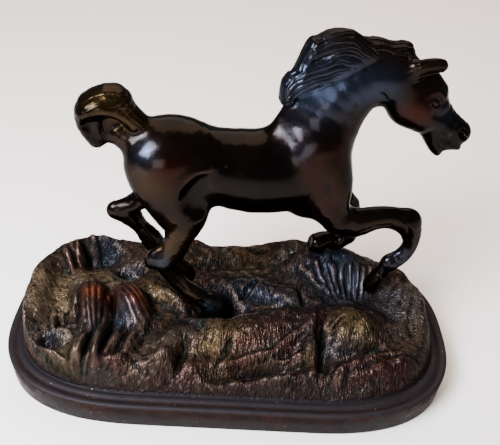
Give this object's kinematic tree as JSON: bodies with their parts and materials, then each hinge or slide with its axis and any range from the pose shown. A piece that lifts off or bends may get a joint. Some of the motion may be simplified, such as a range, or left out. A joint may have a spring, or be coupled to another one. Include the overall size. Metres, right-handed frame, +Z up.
{
  "type": "bronze horse sculpture",
  "caption": "Small bronze of a trotting horse with raised tail and flying mane, on rough ground over an oval moulded plinth.",
  "frame": {"origin": "middle of the plinth's flat underside", "axes": "+X along the plinth, the way the horse heads, +Y to the horse's left, +Z up"},
  "size_m": [0.222, 0.12, 0.1666],
  "materials": {
    "horse_bronze": "dark brown patinated bronze, waxed and glossy, rubbed lighter on the rump, hocks and flank",
    "base_bronze": "brown patinated bronze, duller, gold-brown on the raised ground and blue-green in its hollows"
  },
  "bodies": {
    "root": {"horse": "horse_bronze", "base": "base_bronze"}
  },
  "joints": []
}
